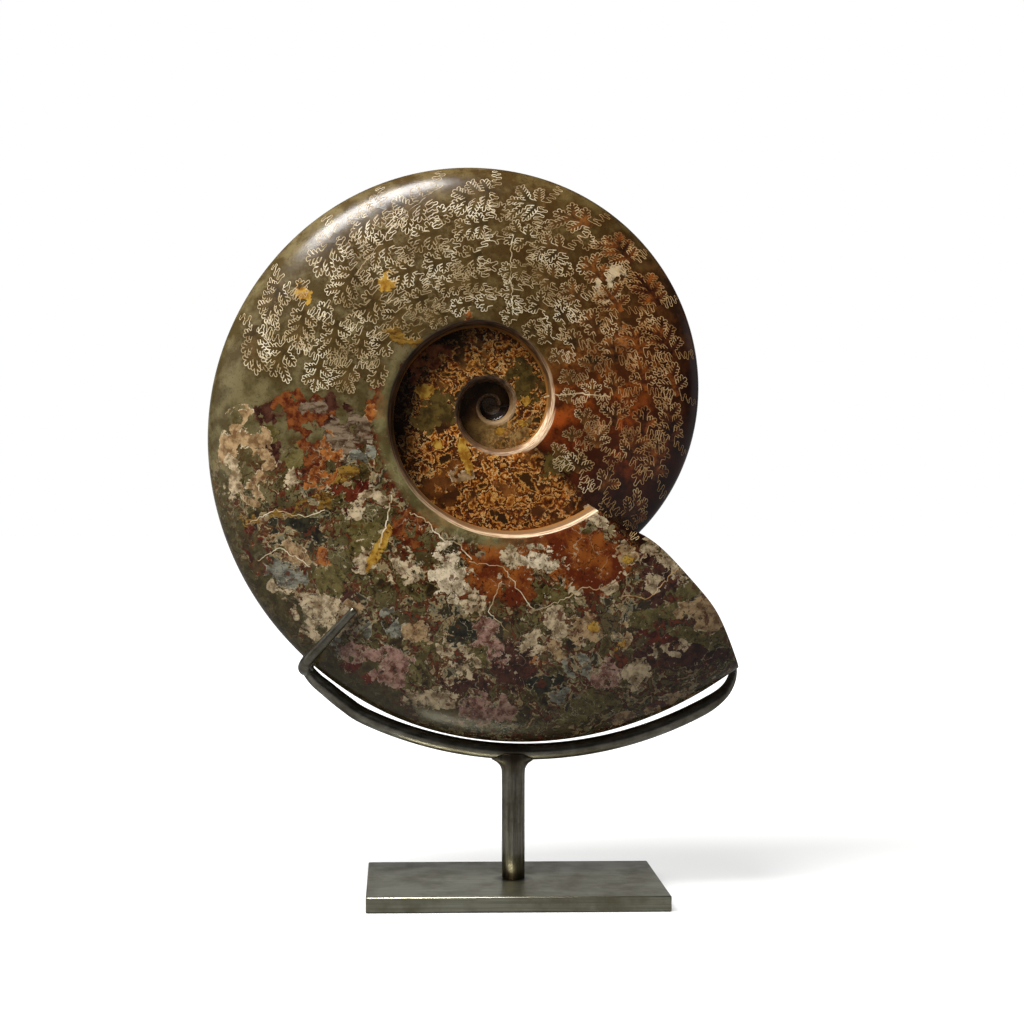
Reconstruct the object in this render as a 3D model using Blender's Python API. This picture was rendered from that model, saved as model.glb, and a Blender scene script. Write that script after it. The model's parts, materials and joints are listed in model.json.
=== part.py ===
"""A polished ammonite fossil that rests in a welded steel stand.

The coil is seen from the front, which faces -Y. Angles run anticlockwise from +X in that view and keep
counting from turn to turn, so one turn earlier is 360 degrees less.
"""

import math

import bmesh
import bpy
from mathutils import Vector

# The fossil, in metres and degrees.
COIL_CENTRE = Vector((-0.0092, 0.0, 0.2019))
MOUTH_ANGLE = 313.8
STEP = 6.0
RINGS = 172
TURN = 60
# Distance of the outer edge from the coil's centre along the last turn.
OUTER_EDGE = (
    (-60, 0.0787), (-30, 0.0822), (0, 0.0861), (30, 0.0902), (60, 0.0944), (90, 0.0983), (120, 0.1032),
    (150, 0.1090), (180, 0.1162), (210, 0.1234), (240, 0.1312), (255, 0.1353), (270, 0.1386), (300, 0.1457),
    (312, 0.1490), (330, 0.1534),
)
OUTER_GROWTH = 0.0017
# Distance of the rounded shoulder that drops into the open middle.
SHOULDER = (
    (-720, 0.0032), (-540, 0.0058), (-450, 0.0079), (-360, 0.0094), (-270, 0.0121), (-180, 0.0154),
    (-90, 0.0205), (-45, 0.0233), (0, 0.0249), (45, 0.0281), (90, 0.0338), (135, 0.0379),
    (180, 0.0425), (225, 0.0479), (270, 0.0536), (315, 0.0602), (360, 0.0676),
)
SHOULDER_WIDTH = 0.0028
SHOULDER_FULL_AT = 0.0125
HALF_THICKNESS_SHARE = 0.176
SIDE_POWER = 2.4
CORNER_POWER = 2.2
PIT_FLOOR = 0.0012
# The mouth's edge bulges forward by these degrees, from the coil's middle (0) to its outer edge (1).
LIP = (
    (0.0, 0.0), (0.1, 0.8), (0.2, 4.6), (0.28, 5.9), (0.5, 4.7), (0.7, 3.7), (0.85, 1.4), (0.95, 0.1),
    (1.0, -0.4),
)
LIP_RUN = 24.0
MOUTH_HOLLOW = 0.004
WALL_POINTS = 3
INNER_POINTS = 4
OUTER_POINTS = 7
FREE_SHARE = 0.45

# The stand.
PLATE = Vector((0.1210, 0.0762, 0.00635))
PLATE_EDGE = 0.0005
GAP = 0.0003
POST_RADIUS = 0.00477
ROD_RADIUS = 0.0035
ARC_CENTRE = (0.00515, 0.2163)
ARC_RADIUS = 0.1575
ARC_FROM = -116.2
ARC_TO = -62.0
ARC_PIECES = 16
# The rod leaves its arc at both ends: x, y, z and radius.
CRADLE_LEFT = (
    (-0.0847, 0.0, 0.0924, 0.00270), (-0.0829, 0.0, 0.0901, 0.00300), (-0.0806, 0.0, 0.0877, 0.00318),
    (-0.0777, 0.0, 0.0856, 0.00330), (-0.0745, 0.0, 0.0828, 0.00338), (-0.0711, 0.0, 0.0801, 0.00344),
    (-0.0677, 0.0, 0.0776, 0.00348),
)
CRADLE_RIGHT = (
    (0.0824, 0.0002, 0.0793, 0.00325), (0.0857, 0.0010, 0.0814, 0.00290), (0.0888, 0.0028, 0.0840, 0.00250),
    (0.0913, 0.0058, 0.0871, 0.00208), (0.0930, 0.0095, 0.0906, 0.00178), (0.0934, 0.0135, 0.0944, 0.00166),
    (0.0917, 0.0170, 0.0990, 0.00162), (0.0889, 0.0195, 0.1030, 0.00158), (0.0857, 0.0212, 0.1066, 0.00154),
)
# The front prong, from its weld to its tip: x, distance in front of the middle, z and radius.
PRONG = (
    (-0.0852, 0.0036, 0.0935, 0.00285), (-0.0857, 0.0062, 0.0938, 0.00280), (-0.0859, 0.0088, 0.0945, 0.00274),
    (-0.0856, 0.0112, 0.0956, 0.00268), (-0.0848, 0.0131, 0.0972, 0.00260), (-0.0832, 0.0142, 0.0991, 0.00250),
    (-0.0790, 0.0159, 0.1037, 0.00228), (-0.0745, 0.0175, 0.1087, 0.00206), (-0.0700, 0.0192, 0.1136, 0.00184),
    (-0.0652, 0.0209, 0.1188, 0.00164),
)
FLARE = (
    (0.0503, 0.00477, 0.00477), (0.0515, 0.00492, 0.00477), (0.0527, 0.00535, 0.00476),
    (0.0538, 0.00612, 0.00472), (0.0548, 0.00735, 0.00466), (0.0556, 0.00900, 0.00458),
    (0.0566, 0.00930, 0.00446), (0.0582, 0.00800, 0.00428),
)


def clear_scene():
    """Take every object out of the scene."""
    for thing in list(bpy.data.objects):
        bpy.data.objects.remove(thing)


def smooth_between(pairs, at, growth):
    """Read a list of distances between its angles, curving on their logarithms."""
    angles = [pair[0] for pair in pairs]
    logs = [math.log(pair[1]) for pair in pairs]
    if at <= angles[0]:
        return math.exp(logs[0] + growth * (at - angles[0]))
    if at >= angles[-1]:
        return math.exp(logs[-1] + growth * (at - angles[-1]))
    k = 0
    while angles[k + 1] < at:
        k = k + 1
    slopes = []
    for i in (k, k + 1):
        low = max(i - 1, 0)
        high = min(i + 1, len(pairs) - 1)
        slopes.append((logs[high] - logs[low]) / (angles[high] - angles[low]))
    span = angles[k + 1] - angles[k]
    u = (at - angles[k]) / span
    start = (1 + 2 * u) * (1 - u) ** 2 * logs[k] + u * (1 - u) ** 2 * span * slopes[0]
    end = u * u * (3 - 2 * u) * logs[k + 1] - u * u * (1 - u) * span * slopes[1]
    return math.exp(start + end)


def outer_edge(angle):
    """Distance of the outer edge from the coil's centre."""
    return smooth_between(OUTER_EDGE, angle, OUTER_GROWTH)


def shoulder(angle):
    """Distance of the shoulder from the coil's centre."""
    return smooth_between(SHOULDER, angle, 0.0033)


def seam(angle):
    """Distance of the line where this turn meets the turn before it."""
    reach = shoulder(angle)
    return reach - SHOULDER_WIDTH * min(1.0, reach / SHOULDER_FULL_AT)


def side_height(angle, reach):
    """Height of the side above the middle plane at a distance from the coil's centre."""
    inside = seam(angle)
    share = (reach - inside) / (outer_edge(angle) - inside)
    share = min(max(share, 0.0), 1.0)
    return HALF_THICKNESS_SHARE * outer_edge(angle) * math.sqrt(1 - share ** SIDE_POWER)


def seam_height(angle):
    """Height of the seam, which lies on the side of the turn before."""
    before = angle - 360
    if before < MOUTH_ANGLE - RINGS * STEP - 0.1:
        return 0.5 * HALF_THICKNESS_SHARE * outer_edge(angle)
    return side_height(before, seam(angle))


def next_seam(angle):
    """Distance at which the turn after meets this one. Past the mouth it only spaces the points."""
    covered = min(angle, MOUTH_ANGLE - TURN * STEP)
    share = (seam(covered + 360) - seam(covered)) / (outer_edge(covered) - seam(covered))
    free = min(max((angle - covered) / 90.0, 0.0), 1.0)
    share = share + (FREE_SHARE - share) * free
    return seam(angle) + (outer_edge(angle) - seam(angle)) * share


def section(angle, column):
    """Distance and height of one point of the whorl's section, counted from the seam to the outer edge."""
    meet = WALL_POINTS + INNER_POINTS
    if column <= WALL_POINTS:
        turn = math.pi / 2 * column / WALL_POINTS
        reach = seam(angle) + (shoulder(angle) - seam(angle)) * (1 - math.cos(turn) ** (2 / CORNER_POWER))
        low = seam_height(angle)
        rise = side_height(angle, shoulder(angle)) - low
        return reach, low + rise * math.sin(turn) ** (2 / CORNER_POWER)
    covered_to = next_seam(angle)
    if column <= meet:
        share = (column - WALL_POINTS) / INNER_POINTS
        reach = shoulder(angle) + (covered_to - shoulder(angle)) * share
        return reach, side_height(angle, reach)
    turn = math.pi / 2 * (column - meet) / OUTER_POINTS
    reach = covered_to + (outer_edge(angle) - covered_to) * math.sin(turn)
    if column == meet + OUTER_POINTS:
        return outer_edge(angle), 0.0
    return reach, side_height(angle, reach)


def lip_shift(angle, column):
    """How far the mouth's edge is pushed forward at one column, in degrees."""
    ease = min(max((angle - MOUTH_ANGLE + LIP_RUN) / LIP_RUN, 0.0), 1.0)
    ease = ease * ease * (3 - 2 * ease)
    reach = section(angle, column)[0]
    share = (reach - seam(angle)) / (outer_edge(angle) - seam(angle))
    for low, high in zip(LIP, LIP[1:]):
        if share <= high[0]:
            break
    part = min(max((share - low[0]) / (high[0] - low[0]), 0.0), 1.0)
    return ease * (low[1] + (high[1] - low[1]) * part)


def coil_point(angle, column, side):
    """Place of one point of the fossil's skin. The side is -1 for the front and 1 for the back."""
    if column > 0:
        angle = angle + lip_shift(angle, column)
    reach, height = section(angle, column)
    turn = math.radians(angle)
    return COIL_CENTRE + Vector((reach * math.cos(turn), side * height, reach * math.sin(turn)))


def make_skin(bm):
    """Build the coiled sides and return the points by ring, column and side."""
    meet = WALL_POINTS + INNER_POINTS
    last = meet + OUTER_POINTS
    points = {}
    for ring in range(RINGS + 1):
        angle = MOUTH_ANGLE - STEP * (RINGS - ring)
        top = last if ring >= RINGS - TURN else meet
        for side in (-1, 1):
            for column in range(top + 1):
                if column == 0 and ring >= TURN:
                    points[ring, 0, side] = points[ring - TURN, meet, side]
                elif column == last and side == 1:
                    points[ring, last, 1] = points[ring, last, -1]
                else:
                    points[ring, column, side] = bm.verts.new(coil_point(angle, column, side))
    for ring in range(RINGS):
        top = last if ring >= RINGS - TURN else meet
        for side in (-1, 1):
            for column in range(top):
                a = points[ring, column, side]
                b = points[ring + 1, column, side]
                c = points[ring + 1, column + 1, side]
                d = points[ring, column + 1, side]
                bm.faces.new((a, b, c, d))
    return points


def close_pit(bm, points):
    """Close the innermost hole on both sides with a shallow floor."""
    meet = WALL_POINTS + INNER_POINTS
    for side in (-1, 1):
        floor = bm.verts.new(COIL_CENTRE + Vector((0.0, side * PIT_FLOOR, 0.0)))
        edge = [points[0, column, side] for column in range(meet + 1)]
        edge = edge + [points[ring, 0, side] for ring in range(TURN - 1, -1, -1)]
        for here, there in zip(edge, edge[1:]):
            bm.faces.new((floor, here, there))


def spread_along(chain):
    """Share of the whole length at each point of a chain."""
    total = [0.0]
    for here, there in zip(chain, chain[1:]):
        total.append(total[-1] + (there - here).length)
    return [length / total[-1] for length in total]


def close_mouth(bm, points):
    """Close the mouth between its lip and the turn before, with a shallow hollow."""
    meet = WALL_POINTS + INNER_POINTS
    last = meet + OUTER_POINTS
    lip = [points[RINGS, column, -1] for column in range(last + 1)]
    lip = lip + [points[RINGS, column, 1] for column in range(last - 1, -1, -1)]
    inner = [points[RINGS - TURN, column, -1] for column in range(meet, last + 1)]
    inner = inner + [points[RINGS - TURN, column, 1] for column in range(last - 1, meet - 1, -1)]
    lip_spread = spread_along([vert.co for vert in lip])
    inner_spread = spread_along([vert.co for vert in inner])
    turn = math.radians(MOUTH_ANGLE)
    backward = Vector((math.sin(turn), 0.0, -math.cos(turn)))
    middle = []
    for vert, share in zip(lip[1:-1], lip_spread[1:-1]):
        k = 0
        while inner_spread[k + 1] < share:
            k = k + 1
        part = (share - inner_spread[k]) / (inner_spread[k + 1] - inner_spread[k])
        across = inner[k].co.lerp(inner[k + 1].co, part)
        depth = MOUTH_HOLLOW * math.sin(math.pi * share)
        middle.append(bm.verts.new(vert.co.lerp(across, 0.55) + backward * depth))
    bm.faces.new((lip[0], lip[1], middle[0]))
    bm.faces.new((lip[-1], middle[-1], lip[-2]))
    for k in range(len(middle) - 1):
        bm.faces.new((lip[k + 1], lip[k + 2], middle[k + 1], middle[k]))
    chain = [lip[0]] + middle + [lip[-1]]
    i = 0
    j = 0
    while i < len(chain) - 1 or j < len(inner) - 1:
        ahead = j == len(inner) - 1 or (i < len(chain) - 1 and lip_spread[i + 1] <= inner_spread[j + 1])
        if ahead and i == 0:
            i = 1
            if j == 0:
                j = 1
                bm.faces.new((chain[0], chain[1], inner[1]))
            continue
        if ahead and i == len(chain) - 2:
            i = i + 1
            continue
        if ahead:
            bm.faces.new((chain[i], chain[i + 1], inner[j]))
            i = i + 1
        else:
            bm.faces.new((chain[min(i, len(chain) - 2)], inner[j + 1], inner[j]))
            j = j + 1


def as_object(name, bm, colour, roughness, metallic, smooth):
    """Turn a mesh into a named object with its own material."""
    bmesh.ops.recalc_face_normals(bm, faces=bm.faces)
    mesh = bpy.data.meshes.new(name)
    bm.to_mesh(mesh)
    bm.free()
    for face in mesh.polygons:
        face.use_smooth = smooth
    thing = bpy.data.objects.new(name, mesh)
    bpy.context.scene.collection.objects.link(thing)
    material = bpy.data.materials.new(name + "_material")
    material.use_nodes = True
    shader = material.node_tree.nodes["Principled BSDF"]
    shader.inputs["Base Color"].default_value = colour
    shader.inputs["Roughness"].default_value = roughness
    shader.inputs["Metallic"].default_value = metallic
    mesh.materials.append(material)
    return thing


def sweep(bm, path, sides):
    """Sweep a round section along a path of centres and radii, with flat ends."""
    centres = [Vector(point[:3]) for point in path]
    radii = [point[3] for point in path]
    across = Vector((0.0, 1.0, 0.0))
    rings = []
    for k, centre in enumerate(centres):
        ahead = centres[min(k + 1, len(centres) - 1)] - centres[max(k - 1, 0)]
        ahead.normalize()
        across = (across - ahead * across.dot(ahead)).normalized()
        up = ahead.cross(across)
        ring = []
        for i in range(sides):
            turn = 2 * math.pi * i / sides
            out = across * math.cos(turn) + up * math.sin(turn)
            ring.append(bm.verts.new(centre + out * radii[k]))
        rings.append(ring)
    for near, far in zip(rings, rings[1:]):
        for i in range(sides):
            j = (i + 1) % sides
            bm.faces.new((near[i], near[j], far[j], far[i]))
    bm.faces.new(rings[0])
    bm.faces.new(list(reversed(rings[-1])))


def arc_points(radius):
    """The cradle's arc from left to right."""
    found = []
    for k in range(ARC_PIECES + 1):
        turn = math.radians(ARC_FROM + (ARC_TO - ARC_FROM) * k / ARC_PIECES)
        x = ARC_CENTRE[0] + ARC_RADIUS * math.cos(turn)
        z = ARC_CENTRE[1] + ARC_RADIUS * math.sin(turn)
        found.append((x, 0.0, z, radius))
    return found


def rounded_end(path, back):
    """Give a path's last point a small rounded edge."""
    last = Vector(path[-1][:3])
    ahead = (last - Vector(path[-2][:3])).normalized()
    tip = last + ahead * back
    return list(path) + [(tip.x, tip.y, tip.z, path[-1][3] * 0.6)]


def make_ammonite():
    """The fossil, grown and turned to stone as one body."""
    bm = bmesh.new()
    points = make_skin(bm)
    close_pit(bm, points)
    close_mouth(bm, points)
    return as_object("ammonite", bm, (0.085, 0.055, 0.028, 1.0), 0.22, 0.0, True)


def make_base_plate():
    """The thin rectangular bar end that lies on the table."""
    bm = bmesh.new()
    bmesh.ops.create_cube(bm, size=1.0)
    bmesh.ops.scale(bm, vec=PLATE, verts=bm.verts)
    bmesh.ops.bevel(bm, geom=bm.edges[:], offset=PLATE_EDGE, segments=2, profile=0.5, affect="EDGES")
    plate = as_object("base_plate", bm, (0.21, 0.20, 0.165, 1.0), 0.38, 1.0, False)
    plate.location = (0.0, 0.0, PLATE.z / 2)
    return plate


def make_cradle():
    """The round rod bent under the fossil, whose right end goes on up behind the shell's tip."""
    bm = bmesh.new()
    path = list(CRADLE_LEFT) + arc_points(ROD_RADIUS) + list(CRADLE_RIGHT)
    sweep(bm, rounded_end(path, 0.0006), 14)
    return as_object("cradle", bm, (0.16, 0.15, 0.12, 1.0), 0.33, 1.0, True)


def make_prong(name, side):
    """A prong that leaves the cradle's left end and leans over one face of the fossil."""
    bm = bmesh.new()
    path = [(x, side * out, z, radius) for x, out, z, radius in PRONG]
    sweep(bm, rounded_end(path, 0.0005), 14)
    return as_object(name, bm, (0.16, 0.15, 0.12, 1.0), 0.33, 1.0, True)


def make_post():
    """The round post, whose welded top flares along the cradle and is hollowed to take it."""
    bm = bmesh.new()
    sides = 24
    rings = []
    levels = ((PLATE.z + GAP, POST_RADIUS, POST_RADIUS),) + FLARE
    for height, half_x, half_y in levels:
        ring = []
        for i in range(sides):
            turn = 2 * math.pi * i / sides
            ring.append(bm.verts.new((half_x * math.cos(turn), half_y * math.sin(turn), height)))
        rings.append(ring)
    for near, far in zip(rings, rings[1:]):
        for i in range(sides):
            j = (i + 1) % sides
            bm.faces.new((near[i], near[j], far[j], far[i]))
    bm.faces.new(rings[0])
    bm.faces.new(list(reversed(rings[-1])))
    post = as_object("post", bm, (0.14, 0.13, 0.105, 1.0), 0.3, 1.0, True)
    tool = bmesh.new()
    sweep(tool, arc_points(ROD_RADIUS + GAP), 28)
    cutter = as_object("rod_cutter", tool, (0.5, 0.5, 0.5, 1.0), 0.5, 0.0, False)
    cutter.hide_render = True
    cutter.display_type = "WIRE"
    cut = post.modifiers.new("rod_seat", "BOOLEAN")
    cut.operation = "DIFFERENCE"
    cut.solver = "EXACT"
    cut.object = cutter
    return post


def main():
    """Build the fossil and its stand."""
    clear_scene()
    make_ammonite()
    make_base_plate()
    make_post()
    make_cradle()
    make_prong("front_prong", -1)
    make_prong("rear_prong", 1)


main()
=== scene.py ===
# %% [markdown]
# # A polished ammonite on a steel stand
# The object is a big fossil shell, cut from its rock and polished, that stands upright in a
# stand of welded steel rod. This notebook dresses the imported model, which gives every shape
# its place: the shell gets a smooth skin, its mineral colours and its frilly suture lines,
# and the stand gets the look of old brushed steel.

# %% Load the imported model
import bpy
import cmath
import json
import math
import random
import numpy as np
from mathutils import Matrix, Vector
from mathutils.bvhtree import BVHTree
from mathutils.kdtree import KDTree

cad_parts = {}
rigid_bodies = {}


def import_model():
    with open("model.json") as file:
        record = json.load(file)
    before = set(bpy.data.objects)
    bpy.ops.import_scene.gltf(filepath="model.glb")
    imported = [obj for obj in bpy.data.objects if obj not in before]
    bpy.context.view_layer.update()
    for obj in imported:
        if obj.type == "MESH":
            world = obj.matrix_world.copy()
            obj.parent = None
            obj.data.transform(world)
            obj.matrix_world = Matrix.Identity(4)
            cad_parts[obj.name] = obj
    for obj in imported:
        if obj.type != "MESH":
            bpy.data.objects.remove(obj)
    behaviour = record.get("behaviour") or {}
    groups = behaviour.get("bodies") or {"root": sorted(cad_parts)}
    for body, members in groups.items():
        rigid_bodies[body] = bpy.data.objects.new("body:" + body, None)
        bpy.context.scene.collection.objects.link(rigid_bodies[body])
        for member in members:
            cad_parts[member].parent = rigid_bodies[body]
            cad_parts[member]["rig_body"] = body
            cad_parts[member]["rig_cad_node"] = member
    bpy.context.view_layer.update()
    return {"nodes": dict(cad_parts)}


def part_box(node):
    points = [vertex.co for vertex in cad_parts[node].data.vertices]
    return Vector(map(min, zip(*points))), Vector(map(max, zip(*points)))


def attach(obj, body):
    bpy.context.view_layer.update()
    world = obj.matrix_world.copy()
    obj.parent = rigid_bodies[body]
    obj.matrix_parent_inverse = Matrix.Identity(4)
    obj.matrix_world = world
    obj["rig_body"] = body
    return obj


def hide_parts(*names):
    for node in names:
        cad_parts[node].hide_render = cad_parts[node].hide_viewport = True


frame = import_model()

print("solids:", sorted(frame["nodes"]))

# %% [markdown]
# ## An empty room
# A new file comes with a cube, a lamp and a camera. They aren't part of the object, so they
# go first. Nothing stays selected, because an operator acts on all that is.

# %% Clear the starting objects
for name in ("Cube", "Light", "Camera"):
    if name in bpy.data.objects:
        bpy.data.objects.remove(bpy.data.objects[name])


def pick(piece):
    """Select one piece alone and make it the active one."""
    bpy.ops.object.select_all(action="DESELECT")
    piece.select_set(True)
    bpy.context.view_layer.objects.active = piece


# %% [markdown]
# ## Camera
# The photograph looks at the fossil's side with a long lens from a little below its middle.
# A small shift keeps the base plate's verticals straight while the view is framed, just as
# a shift lens does, and a camera that stands level needs no correction afterwards.

# %% Set the camera
bpy.ops.object.camera_add(
    location=(-0.04761, -0.79996, 0.16085),
    rotation=(math.radians(90), 0, math.radians(-1.65)),
)
camera = bpy.context.active_object
camera.name = "camera"
camera.data.lens = 67.99
camera.data.sensor_width = 36
camera.data.shift_x = 0.0566
camera.data.shift_y = -0.0067
bpy.context.scene.camera = camera
print("lens in mm:", round(camera.data.lens, 1))

# %% [markdown]
# ## Helpers for materials
# A colour is written as it looks on a screen, as six hex digits, and one function turns it to
# the linear numbers that a node takes. Another adds one node of any kind, and the inputs that
# it is given are either numbers or the outputs of nodes made before it.

# %% Colours and nodes
MM = 0.001


def linear(code):
    """Linear red, green, blue and alpha of a screen colour such as "8A6B45"."""
    parts = [int(code[i:i + 2], 16) / 255 for i in (0, 2, 4)]
    return tuple(p / 12.92 if p <= 0.04045 else ((p + 0.055) / 1.055) ** 2.4 for p in parts) + (1,)


def material_of(name):
    """A new material and the node that ends it."""
    made = bpy.data.materials.new(name)
    made.use_nodes = True
    return made, made.node_tree.nodes["Principled BSDF"]


def feed(material, node, inputs):
    """Give a node its inputs, by name or number. Each is a value, or an output to link."""
    for name, value in inputs.items():
        if isinstance(value, bpy.types.NodeSocket):
            material.node_tree.links.new(value, node.inputs[name])
        else:
            node.inputs[name].default_value = value


def add(material, kind, inputs=None, stops=(), **settings):
    """Add a node with its settings and inputs. A ramp's stops are places with their colours."""
    made = material.node_tree.nodes.new("ShaderNode" + kind)
    for name, value in settings.items():
        setattr(made, name, value)
    if stops:
        band = made.color_ramp.elements
        while len(band) < len(stops):
            band.new(0.5)
        for entry, (place, code) in zip(band, stops):
            entry.position = place
            entry.color = linear(code)
    feed(material, made, inputs or {})
    return made


print("cream as linear numbers:", [round(p, 3) for p in linear("C9B79A")])

# %% [markdown]
# ## The coil's shape in numbers
# An ammonite grows as a spiral tube. At each angle of its last turn it has an outer edge and
# a shoulder, where the side drops into the middle, and one turn earlier it was the same shape
# but smaller. These tables hold the radii in metres. With them any point of the shell can be
# named by its angle along the coil and its distance from the seam between two turns, and the
# colours and the suture lines below are laid out in those terms.

# %% Angle and radius along the coil
COIL_CENTRE = Vector((-0.0092, 0, 0.2019))
MOUTH_ANGLE = 313.8
INNER_END = -720
WALL_WIDTH = 0.0028
SIDE_BULGE = 0.176
SIDE_POWER = 2.4
OUTER_EDGE = (
    (-60, 0.0787), (-30, 0.0822), (0, 0.0861), (30, 0.0902), (60, 0.0944), (90, 0.0983),
    (120, 0.1032), (150, 0.1090), (180, 0.1162), (210, 0.1234), (240, 0.1312), (255, 0.1353),
    (270, 0.1386), (300, 0.1457), (312, 0.1490), (330, 0.1534),
)
SHOULDER = (
    (-720, 0.0032), (-540, 0.0058), (-450, 0.0079), (-360, 0.0094), (-270, 0.0121),
    (-180, 0.0154), (-90, 0.0205), (-45, 0.0233), (0, 0.0249), (45, 0.0281), (90, 0.0338),
    (135, 0.0379), (180, 0.0425), (225, 0.0479), (270, 0.0536), (315, 0.0602), (360, 0.0676),
)


def smooth_table(rows, growth):
    """The radius at every degree from the innermost turn to past the mouth."""
    angles = [row[0] for row in rows]
    logs = [math.log(row[1]) for row in rows]
    slopes = [(logs[min(i + 1, len(rows) - 1)] - logs[max(i - 1, 0)])
              / (angles[min(i + 1, len(rows) - 1)] - angles[max(i - 1, 0)]) for i in range(len(rows))]
    radii = []
    for angle in range(INNER_END, 361):
        if angle <= angles[0]:
            radii.append(math.exp(logs[0] + growth * (angle - angles[0])))
            continue
        if angle >= angles[-1]:
            radii.append(math.exp(logs[-1] + growth * (angle - angles[-1])))
            continue
        k = max(i for i, a in enumerate(angles) if a < angle)
        span = angles[k + 1] - angles[k]
        u = (angle - angles[k]) / span
        start = (1 + 2 * u) * (1 - u) ** 2 * logs[k] + u * (1 - u) ** 2 * span * slopes[k]
        end = u * u * (3 - 2 * u) * logs[k + 1] - u * u * (1 - u) * span * slopes[k + 1]
        radii.append(math.exp(start + end))
    return np.array(radii)


DEGREES = np.arange(INNER_END, 361)
OUTER_RADII = smooth_table(OUTER_EDGE, 0.0017)
SHOULDER_RADII = smooth_table(SHOULDER, 0.0033)


def outer_edge(angle):
    """The radius of the outer edge."""
    return np.interp(angle, DEGREES, OUTER_RADII)


def shoulder(angle):
    """The radius where the side drops into the middle."""
    return np.interp(angle, DEGREES, SHOULDER_RADII)


def seam(angle):
    """The radius of the seam with the turn before."""
    edge = shoulder(angle)
    return edge - WALL_WIDTH * np.minimum(1, edge / 0.0125)


def coil_angles(x, z):
    """The angles along the coil, in degrees, and the radii of points seen from the front."""
    radii = np.hypot(x - COIL_CENTRE.x, z - COIL_CENTRE.z)
    angles = np.degrees(np.arctan2(z - COIL_CENTRE.z, x - COIL_CENTRE.x))
    angles = np.where(angles > MOUTH_ANGLE - 360 + 0.01, angles, angles + 360) - 1080
    for turn in range(3):
        on = (angles + 360 <= MOUTH_ANGLE + 0.01) & (radii >= seam(angles + 360) * 0.9995)
        angles = np.where(on, angles + 360, angles)
    past_mouth = (radii > outer_edge(angles) + 0.002) & (angles < MOUTH_ANGLE - 300)
    return np.where(past_mouth, angles + 360, angles), radii


print("last turn at 90 degrees in mm:", (1000 * shoulder(90)).round(1), (1000 * outer_edge(90)).round(1))

# %% [markdown]
# ## A smooth skin for each solid
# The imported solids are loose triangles. Their shape is right, but it is coarse, and light
# would show each facet. So a copy is made, its doubled points are merged, its triangles are
# joined to four-sided faces, and a subdivision surface rounds it. Edges that are sharp on the
# real thing are creased first, so that they stay crisp. Rounding draws a shape in slightly,
# and one resize brings it back to its solid's size.

# %% Copy a solid and round it
def copy_of(node, name):
    """A merged copy of a solid, in four-sided faces where it can be."""
    pick(frame["nodes"][node])
    bpy.ops.object.duplicate()
    piece = bpy.context.active_object
    piece.name = piece.data.name = name
    piece.parent = None
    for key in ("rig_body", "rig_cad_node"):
        del piece[key]
    bpy.ops.object.mode_set(mode="EDIT")
    bpy.ops.mesh.select_all(action="SELECT")
    bpy.ops.mesh.remove_doubles(threshold=0.01 * MM)
    for limit in (40, 60, 80, 180):
        bpy.ops.mesh.tris_convert_to_quads(
            face_threshold=math.radians(limit), shape_threshold=math.radians(limit))
    bpy.ops.mesh.normals_make_consistent(inside=False)
    bpy.ops.object.mode_set(mode="OBJECT")
    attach(piece, "root")
    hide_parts(node)
    return piece


def round_off(piece, node, sharp, levels):
    """Round a copied solid. Edges sharper than this many degrees stay crisp."""
    bpy.ops.object.mode_set(mode="EDIT")
    bpy.ops.mesh.select_all(action="DESELECT")
    bpy.ops.mesh.select_mode(type="EDGE")
    bpy.ops.mesh.edges_select_sharp(sharpness=math.radians(sharp))
    bpy.ops.transform.edge_crease(value=1)
    bpy.ops.mesh.select_mode(type="VERT")
    bpy.ops.object.mode_set(mode="OBJECT")
    rounding = piece.modifiers.new("rounding", "SUBSURF")
    rounding.levels = rounding.render_levels = levels
    bpy.ops.object.modifier_apply(modifier="rounding")
    grow_to_solid(piece, node)
    bpy.ops.object.shade_smooth_by_angle(angle=math.radians(sharp))


def grow_to_solid(piece, node):
    """Resize the piece so that its box has the solid's size and place."""
    low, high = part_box(node)
    corners = [Vector(c) for c in piece.bound_box]
    own_low = Vector([min(c[i] for c in corners) for i in range(3)])
    own_high = Vector([max(c[i] for c in corners) for i in range(3)])
    factor = [(high[i] - low[i]) / (own_high[i] - own_low[i]) for i in range(3)]
    bpy.ops.transform.resize(value=factor, center_override=(own_low + own_high) / 2)
    bpy.ops.transform.translate(value=(low + high) / 2 - (own_low + own_high) / 2)
    bpy.ops.object.transform_apply(location=True, rotation=True, scale=True)
    print(piece.name, "grown by", [round(f, 4) for f in factor])


# %% [markdown]
# ## The fossil's skin
# The shell is the fossil's own: one stone body, ground and polished. Its seams and the lip of
# the mouth are the only crisp edges.

# %% Make the fossil
fossil = copy_of("ammonite", "fossil")
round_off(fossil, "ammonite", 40, 2)
print("fossil faces:", len(fossil.data.polygons))

# %% [markdown]
# ## A map of the coil
# Much of the colour follows the coil: the old inner turns are golden, the last turn is olive,
# and a pale line runs along each shoulder. So every face corner is given its place on the
# coil in two UV maps. The first holds the turn it lies on and its share of the way across
# the side, and the second holds its distance from the seam and from the outer edge.

# %% Write the two maps
def numbers(collection, name, width):
    """One property of a mesh's points, faces or corners as an array."""
    whole = name in ("vertex_index", "loop_total")
    flat = np.zeros(len(collection) * width, int if whole else float)
    collection.foreach_get(name, flat)
    return flat.reshape(-1, width) if width > 1 else flat


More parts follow.
